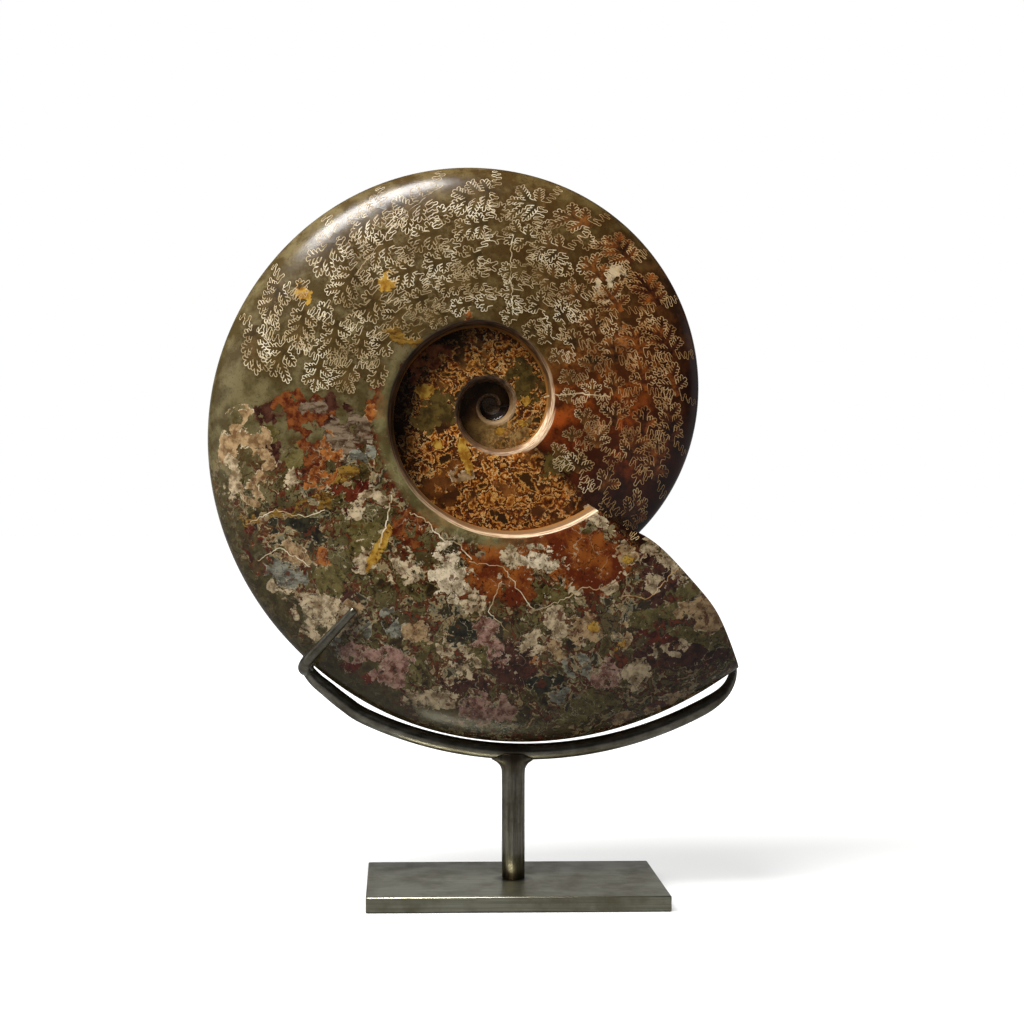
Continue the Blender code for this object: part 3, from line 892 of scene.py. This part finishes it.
# %% Break the fill into pieces
chamber = where((along, at(188), at(202)))
wandering_place = pushed(pushed(millimetres, noises["slow"], 20), noises["grain"], 1.6)
cells = {"Vector": wandering_place, "Scale": 1 / 11}
broken = add(stone, "TexVoronoi", cells)
cut = add(stone, "TexVoronoi", cells, feature="DISTANCE_TO_EDGE").outputs["Distance"]
shifted = pushed(wandering_place, broken, 60)
settings = {"Vector": shifted, "Scale": 1 / 8, "Detail": 3.0, "Roughness": 0.5}
bands = add(stone, "TexNoise", settings).outputs[0]
lean = add(stone, "SeparateXYZ", {0: broken.outputs["Color"]}).outputs["Y"]
bands = add(stone, "Math", {0: lean, 1: 0.20, 2: bands}, operation="MULTIPLY_ADD").outputs[0]
PIECES = [
    (0.0, "20160A"), (0.42, "33270F"), (0.47, "453B1C"), (0.52, "574E2E"), (0.575, "1E0E06"),
    (0.585, "43200E"), (0.625, "5E3A1E"), (0.65, "A89878"), (0.66, "84724E"), (0.70, "6A6450"),
    (0.735, "2C2416"),
]
pieces = add(stone, "ValToRGB", {0: bands}, stops=PIECES)
pieces.color_ramp.interpolation = "CONSTANT"
colour = paint(colour, pieces.outputs[0], (level["breaks"], 0.44, 0.46, 0.9), chamber)
rusty = add(stone, "Math", {0: level["clouds"], 1: 0.30, 2: cut}, operation="MULTIPLY_ADD").outputs[0]
rusty_here = where(chamber, (level["breaks"], 0.50, 0.48))
colour = paint(colour, "17100A", (rusty, 0.205, 0.20), rusty_here)
colour = paint(colour, paint("34140A", "5E2E16", grainy), (rusty, 0.195, 0.19), rusty_here)
print("tones of the pieces:", len(PIECES))

# %% [markdown]
# ## Minerals in the patches
# Each mineral has a deep and a pale tone, an outline where it meets the mud, and its own way
# of breaking off. The distance field of its patches is roughened by a coarse noise with chips
# in it and by a fine one. Only near a patch do they count, or they would strew it everywhere.

# %% Paint the minerals
MINERALS = {
    "glow": ("54200A", "84481A", "3A1408", 0.22, 0.05, 0.14),
    "purple": ("26110A", "46281C", "4E3826", 0.34, 0.10, 0.08),
    "rust": ("42180A", "74401C", "241006", 0.36, 0.08, 0.03),
    "red": ("360F08", "5C2412", "1E0A05", 0.32, 0.08, 0.02),
    "lilac": ("3E2C1C", "766450", "2A1A10", 0.34, 0.10, 0.08),
    "olive": ("443A1A", "635832", "171206", 0.24, 0.03, 0.02),
    "green": ("33270F", "54421C", "2A1C0C", 0.34, 0.34, 0.04),
    "blue": ("4A463A", "7E7C6C", "A89E84", 0.38, 0.10, 0.04),
    "pink": ("583628", "9A7868", "B4A28C", 0.36, 0.14, 0.03),
    "tan": ("644A2E", "A0845E", "C6B290", 0.30, 0.07, 0.02),
    "cream": ("6E5A40", "BAA684", "32291A", 0.34, 0.16, 0.02),
    "white": ("7A6A50", "D0BE9E", "42381F", 0.34, 0.18, 0.02),
    "amber": ("4A3010", "806024", "1C1006", 0.22, 0.06, 0.03),
    "orange": ("5C2C10", "965A28", "A88A60", 0.26, 0.12, 0.02),
    "gold": ("7A4E14", "A88434", "3A2208", 0.12, 0.05, 0.02),
    "dark": ("15120A", "302C1C", "8A8264", 0.34, 0.07, 0.02),
}
chips = add(stone, "TexVoronoi", {"Vector": ragged_place, "Scale": 1 / 4.6})
chips = add(stone, "SeparateXYZ", {0: chips.outputs["Color"]}).outputs["Z"]
chips = add(stone, "MapRange", {0: chips, 3: -1.15, 4: 1.15}).outputs[0]
swing = {0: level["coarse"], 1: 0.3, 2: 0.7, 3: -0.8, 4: 0.8}
coarse = add(stone, "MapRange", swing, clamp=False).outputs[0]
coarse = add(stone, "Math", {0: coarse, 1: chips}, operation="ADD").outputs[0]
swing = {0: level["fine"], 1: 0.3, 2: 0.7, 3: -1.0, 4: 1.0}
fine = add(stone, "MapRange", swing, clamp=False).outputs[0]
leaning = add(stone, "Mapping", {0: ragged_place, 2: (0, math.radians(-35), 0), 3: (0.7, 1, 2.2)}).outputs[0]
streaks = add(stone, "TexNoise", {"Vector": leaning, "Scale": 1 / 3.5, "Detail": 4.0, "Roughness": 0.6})
streaked = where((streaks.outputs[0], 0.40, 0.60))
LAID_BY = {"lilac": streaked, "blue": streaked, "amber": streaked, "glow": cloudy}
for number, (kind, (deep, pale, rim, ragged, flecked, soft)) in enumerate(MINERALS.items()):
    group = add(stone, "Attribute", attribute_name="patches_%d" % (number // 4 + 1))
    if number % 4 == 3:
        field = group.outputs["Alpha"]
    else:
        field = add(stone, "SeparateXYZ", {0: group.outputs["Vector"]}).outputs[number % 4]
    near = where((field, 0.05, 0.25))
    for roughness, amount in ((coarse, ragged), (fine, flecked)):
        pushes = {0: where(roughness, near), 1: amount, 2: field}
        field = add(stone, "Math", pushes, operation="MULTIPLY_ADD").outputs[0]
    colour = paint(colour, rim, (field, 0.455, 0.465, 0.85), grainy)
    colour = paint(colour, paint(deep, pale, LAID_BY.get(kind, mottled)), (field, 0.49, 0.49 + soft))
print("minerals:", list(MINERALS))

# %% Flecks and cracks in the broken fill
FLECKS = (
    ("A4967A", 3.0, 0.66, 0.68, 0.8, (0, 0, 0)), ("4E2410", 4.0, 0.61, 0.63, 0.8, (40, 0, 0)),
    ("120E06", 3.0, 0.66, 0.68, 0.8, (0, 0, 90)), ("B4A684", 1.5, 0.66, 0.70, 0.65, (0, 20, 0)),
    ("140E07", 1.5, 0.61, 0.65, 0.7, (0, 50, 0)),
)
for code, size, low, high, most, shift in FLECKS:
    moved = add(stone, "VectorMath", {0: ragged_place, 1: shift}).outputs[0]
    settings = {"Vector": moved, "Scale": 1 / size, "Detail": 3.0, "Roughness": 0.6}
    fleck = add(stone, "TexNoise", settings).outputs[0]
    colour = paint(colour, code, (fleck, low, high, most), chamber)
CRACKS = (("0E0A04", 13, 0.014, 0.85, (0, 0, 0)), ("A49A7C", 19, 0.009, 0.6, (33, 0, 50)))
for code, size, width, most, shift in CRACKS:
    moved = add(stone, "VectorMath", {0: wandering_place, 1: shift}).outputs[0]
    crack = add(stone, "TexVoronoi", {"Vector": moved, "Scale": 1 / size}, feature="DISTANCE_TO_EDGE")
    crack = crack.outputs["Distance"]
    colour = paint(colour, code, (crack, width, width * 0.4, most), cloudy, chamber)
print("kinds of fleck and crack:", len(FLECKS), len(CRACKS))

# %% [markdown]
# ## Bands, walls and rims
# Plain olive mudstone borders the broken fill on both sides. Where a turn drops to the one
# before it, its wall has fine lines along the coil and painted shade and light: dark on the
# upper left, where shade falls, and paler on the lower side, which faces the lamp. Its rounded
# rim is pale calcite that is painted in only where it faces the lamp, widest at the lower right,
# so it is partly painted light. All of these follow the coil, so they are masks of the two maps
# and not of the noise.

# %% Paint the plain bands
wavy = add(stone, "MapRange", {0: level["grain"], 1: 0.3, 2: 0.7, 3: -0.008, 4: 0.008}).outputs[0]
inner_edge = add(stone, "Math", {0: edges.outputs["X"], 1: wavy}, operation="ADD").outputs[0]
uneven = {0: coarse, 1: 0.045, 2: from_outer_edge}
outer_side = add(stone, "Math", uneven, operation="MULTIPLY_ADD").outputs[0]
outer_band = (along, at(194), at(206)), (along, at(268), at(250)), (outer_side, 0.115, 0.10, 0.8)
inner_band = (along, at(150), at(190)), (along, at(292), at(270)), (inner_edge, 0.085, 0.06, 0.75)
colour = paint(colour, paint("2C2512", "463E22", mottled), *outer_band)
colour = paint(colour, paint("4C4426", "6C6440", cloudy), *inner_band)
print("bands: 2")

# %% Paint the wall and the rim of each turn
# Painted shade and light: the wall's tone runs dark on the upper left of the coil, where shade falls, and
# paler on the lower side, which faces the lamp.
WALL_SHADE_AND_LIGHT = [
    (at(-700), "1A1006"), (at(-560), "120A04"), (at(-520), "4A3820"), (at(-400), "7E6440"),
    (at(-340), "3E2A16"), (at(-300), "1E0F06"), (at(-170), "1E0F06"), (at(-130), "3A2412"),
    (at(-60), "6A4A2C"), (at(0), "5A3C20"), (at(40), "341C0A"), (at(70), "261408"),
    (at(190), "261408"), (at(225), "3E2814"), (at(260), "6E5032"), (at(314), "76583A"),
]
# Painted light: the pale calcite rim shows only where it faces the lamp, on the lower side, and stays dark
# on the shaded upper left.
RIM_PAINTED_LIGHT = [
    (at(-720), "000000"), (at(-450), "101010"), (at(-385), "808080"), (at(-300), "404040"),
    (at(-120), "101010"), (at(-60), "C0C0C0"), (at(-40), "FFFFFF"), (at(0), "F0F0F0"),
    (at(40), "606060"), (at(70), "101010"), (at(200), "080808"), (at(235), "A0A0A0"),
    (at(275), "FFFFFF"), (at(314), "FFFFFF"),
]
narrower = add(stone, "MapRange", {0: along, 1: at(-720), 2: at(-330), 3: -0.014, 4: 0.0}).outputs[0]
from_seam = add(stone, "Math", {0: edges.outputs["X"], 1: narrower}, operation="SUBTRACT").outputs[0]
wall = where(*on_band(from_seam, -1.0, 0.024, 0.003))
wall_painted_shade = add(stone, "ValToRGB", {0: along}, stops=WALL_SHADE_AND_LIGHT).outputs[0]
rim_painted_light = add(stone, "ValToRGB", {0: along}, stops=RIM_PAINTED_LIGHT).outputs[0]
on_coil = add(stone, "CombineXYZ", {0: coil.outputs["X"], 1: edges.outputs["X"]}).outputs[0]
drawn_out = add(stone, "Mapping", {0: on_coil, 3: (30, 260, 1)}).outputs[0]
lines = add(stone, "TexNoise", {"Vector": drawn_out, "Scale": 1.0, "Detail": 3.0, "Roughness": 0.6})
lined = where((lines.outputs[0], 0.38, 0.58))
colour = paint(colour, paint(wall_painted_shade, "8A643C", lined, (lined, 0.0, 1.0, 0.35)), wall)
colour = paint(colour, paint("7E5634", "D8BC98", lined), *on_band(from_seam, 0.017, 0.029, 0.002), rim_painted_light)
# Pale calcite made broader and paler at the lower right, where it faces the lamp: partly a painted
# highlight.
broad_rim_painted_light = (along, at(-60), at(-42)), (along, at(-2), at(-18)), *on_band(from_seam, 0.006, 0.038, 0.003)
colour = paint(colour, paint("9A6E4A", "E0C6A4", lined), *broad_rim_painted_light)
golden_seam = *on_band(edges.outputs["X"], 0.0, 0.004, 0.002), (along, at(-60), at(-40), 0.8)
colour = paint(colour, "8A5A1E", *golden_seam)
print("stops of wall and rim:", len(WALL_SHADE_AND_LIGHT), len(RIM_PAINTED_LIGHT))

# %% Polish the stone
gloss = add(stone, "MapRange", {0: level["mottle"], 1: 0.3, 2: 0.7, 3: 0.17, 4: 0.27}).outputs[0]
gloss = add(stone, "Math", {0: wall, 1: 0.35, 2: gloss}, operation="MULTIPLY_ADD").outputs[0]
feed(stone, stone_end, {"Base Color": colour, "Roughness": gloss, "IOR": 1.54, "Specular IOR Level": 0.36})
fossil.data.materials.clear()
fossil.data.materials.append(stone)
print("nodes in the stone:", len(stone.node_tree.nodes))

# %% [markdown]
# ## Calcite of the lines and the leaves
# The lines are the cut edges of the walls, now cream calcite, and the leaves that they edge
# are filled with brown. Both are browner on the right, where iron has reached them. They lie
# flush in the stone and are polished with it, so each is a stained tone with a soft gloss.

# %% Two calcites
def stained_calcite(name, rough, lumps, left, right, turns_brown):
    """Polished calcite with stains of this size in mm and tones for its left and its right."""
    made, end = material_of(name)
    spot = add(made, "TexCoord").outputs["Object"]
    size, detail, roughness = lumps
    settings = {"Vector": spot, "Scale": 1 / (size * MM), "Detail": detail, "Roughness": roughness}
    stain = add(made, "TexNoise", settings).outputs[0]
    tones = [add(made, "ValToRGB", {0: stain}, stops=stops).outputs[0] for stops in (left, right)]
    apart = add(made, "SeparateXYZ", {0: spot}).outputs["X"]
    rightward = add(made, "MapRange", {0: apart, 1: turns_brown[0], 2: turns_brown[1]}).outputs[0]
    tone = add(made, "MixRGB", {0: rightward, 1: tones[0], 2: tones[1]}).outputs[0]
    feed(made, end, {"Base Color": tone, "Roughness": rough})
    return made


PALE_LINE = [(0.38, "7A6440"), (0.5, "A8926C"), (0.62, "D2C6A8")]
GOLD_LINE = [(0.38, "6A4420"), (0.5, "A67C48"), (0.64, "D0B080")]
BROWN = [(0.38, "33260F"), (0.5, "453416"), (0.64, "584424")]
FOXY = [(0.38, "220C03"), (0.5, "4A220A"), (0.62, "8C4A16")]
calcite = stained_calcite("polished_calcite", 0.3, (11, 6.0, 0.65), PALE_LINE, GOLD_LINE, (0.01, 0.05))
fill = stained_calcite("polished_brown_calcite", 0.25, (7, 7.0, 0.7), BROWN, FOXY, (0.005, 0.05))
for piece in suture_pieces["front"] + suture_pieces["back"] + vein_pieces:
    piece.data.materials.append(calcite)
for piece in core_pieces.values():
    piece.data.materials.append(fill)
print("calcites:", calcite.name, fill.name)

# %% [markdown]
# ## The steel stand
# Post, cradle and prongs are bent round bar. Their solids have the right shape, so each gets a
# rounded copy.

# %% Round the rods
RODS = ("post", "cradle", "front_prong", "rear_prong")
stand = []
for node in RODS:
    rod = copy_of(node, node + "_bar")
    round_off(rod, node, 50, 2)
    stand.append(rod)
print("rod faces:", [len(rod.data.polygons) for rod in stand])

# %% [markdown]
# ## The base plate
# The plate is a cut length of flat bar. Its faces are flat and its edges were broken with a
# file, so it gets a small bevel and no rounding, and only the bevel is shaded smooth.

# %% Ease the plate's edges
plate = copy_of("base_plate", "plate")
easing = plate.modifiers.new("easing", "BEVEL")
easing.width = 0.25 * MM
easing.segments = 3
easing.limit_method = "ANGLE"
easing.angle_limit = math.radians(40)
bpy.ops.object.modifier_apply(modifier="easing")
bpy.ops.object.shade_smooth_by_angle(angle=math.radians(40))
for face in plate.data.polygons:
    face.use_smooth = face.area < 30 * MM * MM
print("plate faces:", len(plate.data.polygons))

# %% [markdown]
# ## Old brushed steel
# The plate was ground along its length, the post along its height, and the rods were rubbed
# down with abrasive cloth. Years of handling gave them a warm grey film. So each steel is a
# metal whose tone runs in long fine lines, 0.4 mm apart and drawn a little coarser than they
# are, under soft brown clouds of patina that also make it less shiny.

# %% Three steels
def brushed_steel(name, lines, tones, patina, rough):
    """Steel with lines of these sizes in mm along X, Y and Z, three tones and a patina colour."""
    steel, end = material_of(name)
    spot = add(steel, "TexCoord").outputs["Object"]
    stretched = add(steel, "Mapping", {0: spot, 3: [1 / (size * MM) for size in lines]}).outputs[0]
    settings = {"Vector": stretched, "Scale": 1.0, "Detail": 5.0, "Roughness": 0.65}
    brushed = add(steel, "TexNoise", settings).outputs[0]
    settings = {"Vector": spot, "Scale": 1 / (16 * MM), "Detail": 6.0, "Roughness": 0.65}
    film = add(steel, "TexNoise", settings).outputs[0]
    tone = add(steel, "ValToRGB", {0: brushed}, stops=list(zip((0.34, 0.5, 0.66), tones))).outputs[0]
    filmy = add(steel, "MapRange", {0: film, 1: 0.42, 2: 0.66, 4: 0.8}).outputs[0]
    tone = add(steel, "MixRGB", {0: filmy, 1: tone, 2: linear(patina)}).outputs[0]
    dull = add(steel, "MapRange", {0: brushed, 1: 0.3, 2: 0.7, 3: rough - 0.05, 4: rough + 0.05}).outputs[0]
    dull = add(steel, "Math", {0: filmy, 1: 0.12, 2: dull}, operation="MULTIPLY_ADD").outputs[0]
    feed(steel, end, {"Metallic": 1.0, "Roughness": dull})
    return steel, end, spot, tone


def stained(steel, tone, spot, place, near, far, code, most):
    """A tone stained round one place, as a weld's heat or handling leaves it."""
    away = add(steel, "VectorMath", {0: spot, 1: place}, operation="DISTANCE").outputs["Value"]
    here = add(steel, "MapRange", {0: away, 1: far * MM, 2: near * MM, 4: most}).outputs[0]
    return add(steel, "MixRGB", {0: here, 1: tone, 2: linear(code)}).outputs[0]


post_low, post_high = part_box("post")
foot = Vector(((post_low.x + post_high.x) / 2, (post_low.y + post_high.y) / 2, post_low.z))
weld = Vector((foot.x, foot.y, post_high.z))
plate_steel, end, spot, tone = brushed_steel(
    "ground_flat_steel", (45, 0.8, 0.8), ("9E9C86", "B8B6A0", "CECCB8"), "8C866C", 0.34)
# Painted shade: the plate's top is made darker towards its back edge.
depth = add(plate_steel, "SeparateXYZ", {0: spot}).outputs["Y"]
back_painted_shade = add(plate_steel, "MapRange", {0: depth, 1: 0.0, 2: 0.036, 4: 0.5}).outputs[0]
tone = add(plate_steel, "MixRGB", {0: back_painted_shade, 1: tone, 2: linear("66604E")}).outputs[0]
tone = stained(plate_steel, tone, spot, foot, 5, 8.5, "3A2E1E", 0.85)
feed(plate_steel, end, {"Base Color": tone})
post_steel, end, spot, tone = brushed_steel(
    "brushed_round_steel", (1.1, 1.1, 22), ("6E6A5E", "949082", "AEAA9C"), "5E5442", 0.3)
tone = stained(post_steel, tone, spot, foot, 2, 9, "4A3A26", 0.8)
tone = stained(post_steel, tone, spot, weld, 4, 10, "5C4C34", 0.7)
feed(post_steel, end, {"Base Color": tone})
rod_steel, end, spot, tone = brushed_steel(
    "rubbed_rod_steel", (9, 1.6, 5), ("767264", "989486", "B2AEA0"), "62594A", 0.3)
tone = stained(rod_steel, tone, spot, weld, 4, 9, "4E4230", 0.7)
feed(rod_steel, end, {"Base Color": tone})
for piece, steel in zip(stand + [plate], (post_steel, rod_steel, rod_steel, rod_steel, plate_steel)):
    piece.data.materials.clear()
    piece.data.materials.append(steel)
    print(piece.name, "is", steel.name)

# %% [markdown]
# ## Floor
# The object stands on white paper that fades into a white wall. The paper glows a little more
# the further it lies from the object, so no horizon shows from any side, and near the object
# it is plain enough to take a soft shadow. It is hidden from mirrors and from bounced light,
# because a real set this bright would wash out the dark polished stone.

# %% Lay the floor
bpy.ops.object.select_all(action="DESELECT")
bpy.ops.mesh.primitive_plane_add(size=12, location=(0, 3, 0))
floor = bpy.context.active_object
floor.name = "floor"
paper, shader = material_of("white_paper")
place = add(paper, "SeparateXYZ", {0: add(paper, "TexCoord").outputs["Object"]})
across = add(paper, "Math", {0: place.outputs["X"]}, operation="ABSOLUTE").outputs[0]
across = add(paper, "Math", {0: across, 1: 0.6}, operation="SUBTRACT").outputs[0]
depth = add(paper, "Math", {0: place.outputs["Y"], 1: 3.1}, operation="ADD").outputs[0]
depth = add(paper, "Math", {0: depth}, operation="ABSOLUTE").outputs[0]
far = add(paper, "Math", {0: across, 1: depth}, operation="MAXIMUM").outputs[0]
fade = add(paper, "MapRange", {0: far, 1: 0.2, 2: 0.9, 3: 0.5, 4: 1.0})
feed(paper, shader, {
    "Base Color": linear("B2B2B0"), "Roughness": 0.8, "Specular IOR Level": 0.0,
    "Emission Color": (1, 1, 1, 1), "Emission Strength": fade.outputs[0],
})
floor.data.materials.append(paper)
floor.visible_diffuse = floor.visible_glossy = False

# %% [markdown]
# ## Cards for the mirrors
# Steel and polished stone show what stands round them. As a photographer does, pale cards are
# set behind, beside and under the object and a black one in front. Only mirrors show them.

# %% Hang the cards
def card(name, place, aim, width, height, strength):
    """A card that only mirrors show: it glows, or is black at strength 0."""
    bpy.ops.mesh.primitive_plane_add(size=1, location=place)
    made = bpy.context.active_object
    made.name = name
    made.scale = (width, height, 1)
    made.rotation_euler = (Vector(aim) - Vector(place)).to_track_quat("Z", "Y").to_euler()
    glow, shader = material_of(name)
    feed(glow, shader, {
        "Base Color": (0, 0, 0, 1), "Emission Color": (1, 1, 1, 1), "Emission Strength": strength,
    })
    made.data.materials.append(glow)
    made.visible_camera = made.visible_diffuse = made.visible_shadow = False


card("back_card", (0, 1.3, 0.3), (0, 0, 0.3), 3.0, 0.6, 0.34)
card("low_card", (0, 0, 0.0005), (0, 0, 1), 3.0, 3.0, 0.26)
card("left_card", (-0.75, -0.1, 0.25), (0, 0, 0.15), 0.5, 0.5, 0.42)
card("right_card", (0.8, 0.1, 0.25), (0, 0, 0.15), 0.5, 0.5, 0.28)
card("black_card", (-0.02, -0.5, 0.12), (-0.02, 0, 0.12), 0.36, 0.24, 0.0)

# %% [markdown]
# ## Light
# The camera sees white behind the object, but its mirrors see a darker room, so the world's
# strength depends on the kind of ray. The key soft box hangs over the upper left, where its
# long highlight lies along the shell's upper edge, a second one fills from the left, and a
# third lights the back, so that the object can be looked at from all sides.

# %% Light the room
scene = bpy.context.scene
scene.view_settings.view_transform = "Standard"
scene.world = bpy.data.worlds.new("white_room")
scene.world.use_nodes = True
backdrop = scene.world.node_tree.nodes["Background"]
path = add(scene.world, "LightPath")
dim = add(scene.world, "MapRange", {0: path.outputs["Is Glossy Ray"], 3: 0.26, 4: 0.04}).outputs[0]
bright = add(scene.world, "MapRange", {0: path.outputs["Is Camera Ray"], 3: dim, 4: 1.0}).outputs[0]
feed(scene.world, backdrop, {"Color": (1, 1, 1, 1), "Strength": bright})


def soft_box(name, place, aim, width, height, watts, level=(1, 0, 0)):
    """A rectangular lamp at a place that faces a point, with its width along a direction."""
    bpy.ops.object.light_add(type="AREA", location=place)
    lamp = bpy.context.active_object
    lamp.name = name
    lamp.data.shape = "RECTANGLE"
    lamp.data.size, lamp.data.size_y = width, height
    lamp.data.energy = watts
    back = (Vector(place) - Vector(aim)).normalized()
    wide = (Vector(level) - back * back.dot(Vector(level))).normalized()
    lamp.rotation_euler = Matrix((wide, back.cross(wide), back)).transposed().to_euler()
    return lamp


soft_box("key_soft_box", (-0.44, -0.47, 1.28), (-0.055, 0, 0.286), 0.72, 0.34, 23, (0.9, 0.17, 0.36))
side_lamp = soft_box("side_soft_box", (-1.3, -0.75, 0.95), (0, 0, 0.17), 1.1, 0.8, 22)
back_lamp = soft_box("back_soft_box", (-0.35, 1.3, 0.9), (0, 0, 0.2), 0.9, 0.6, 14)
side_lamp.visible_glossy = back_lamp.visible_glossy = False
